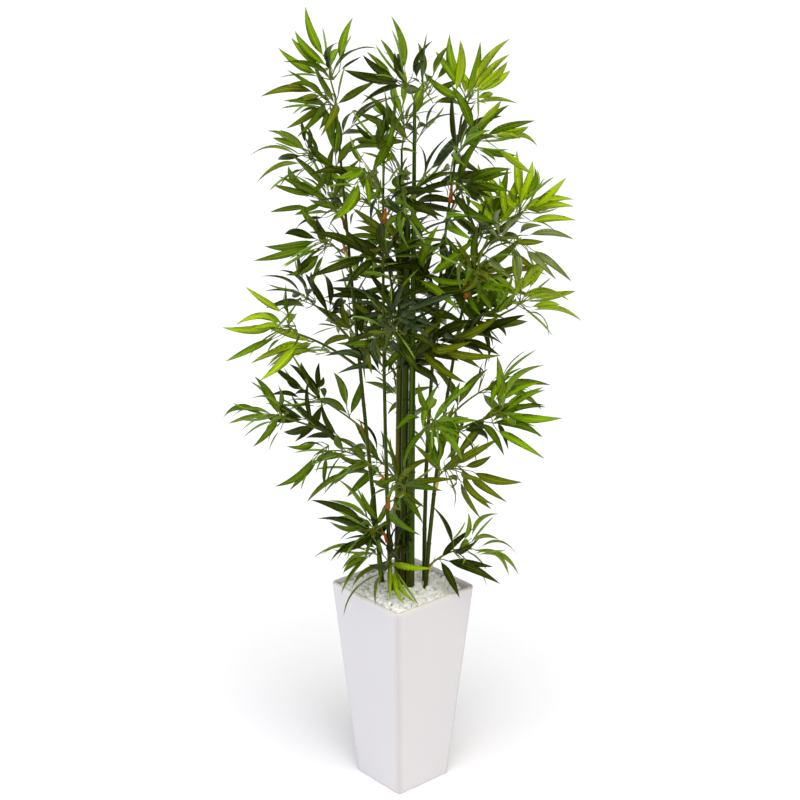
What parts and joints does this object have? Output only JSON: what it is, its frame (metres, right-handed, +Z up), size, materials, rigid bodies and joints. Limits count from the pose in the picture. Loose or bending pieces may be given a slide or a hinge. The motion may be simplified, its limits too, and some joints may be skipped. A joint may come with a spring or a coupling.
{
  "type": "artificial potted bamboo",
  "caption": "Artificial bamboo: slim canes and leafy sprays in a tapered square tower planter topped with pebbles.",
  "frame": {"origin": "centre of the planter's flat underside, on the surface that it stands on", "axes": "+Z up along the planter's axis; +X and +Y square to two of the planter's sides"},
  "size_m": [0.5808, 0.585, 1.4672],
  "materials": {
    "planter": "gloss",
    "pebbles": "matte",
    "cane": "satin",
    "twig": "satin",
    "leaf": "satin"
  },
  "bodies": {
    "root": {"planter": "planter", "pebble_bed": "pebbles", "cane_thick_left": "cane", "cane_thick_middle": "cane", "cane_thick_right": "cane", "cane_left": "cane", "cane_front": "cane", "cane_right": "cane", "cane_leaning": "cane", "cane_back": "cane", "bough_shoulder_right": "twig", "bough_waist_front": "twig", "bough_waist_right": "twig", "bough_waist_left": "twig", "bough_waist_front_left": "twig", "bough_middle_back_right": "twig", "bough_middle_back_left": "twig", "bough_low_front": "twig", "bough_low_front_right": "twig", "bough_low_front_left": "twig", "spray_top_left": "leaf", "spray_top_middle": "leaf", "spray_top_middle_right": "leaf", "spray_top_right": "leaf", "spray_high_left": "leaf", "spray_high_right": "leaf", "spray_high_back": "leaf", "spray_high_front": "leaf", "spray_upper_left": "leaf", "spray_upper_front_left": "leaf", "spray_upper_front": "leaf", "spray_upper_right": "leaf", "spray_upper_back_right": "leaf", "spray_upper_back_left": "leaf", "spray_shoulder_left": "leaf", "spray_shoulder_front_left": "leaf", "spray_shoulder_right": "leaf", "spray_shoulder_front_right": "leaf", "spray_shoulder_back_right": "leaf", "spray_waist_front_right": "leaf", "spray_waist_back": "leaf", "spray_waist_front": "leaf", "spray_waist_right": "leaf", "spray_waist_left": "leaf", "spray_waist_front_left": "leaf", "spray_middle_right": "leaf", "spray_middle_back_right": "leaf", "spray_middle_back_left": "leaf", "spray_low_front": "leaf", "spray_low_right": "leaf", "spray_low_front_right": "leaf", "spray_low_left": "leaf", "spray_low_front_left": "leaf", "spray_low_back": "leaf", "spray_skirt_left": "leaf", "spray_skirt_right": "leaf", "spray_skirt_front": "leaf", "spray_skirt_back": "leaf", "spray_foot_left": "leaf", "spray_foot_right": "leaf"}
  },
  "joints": []
}
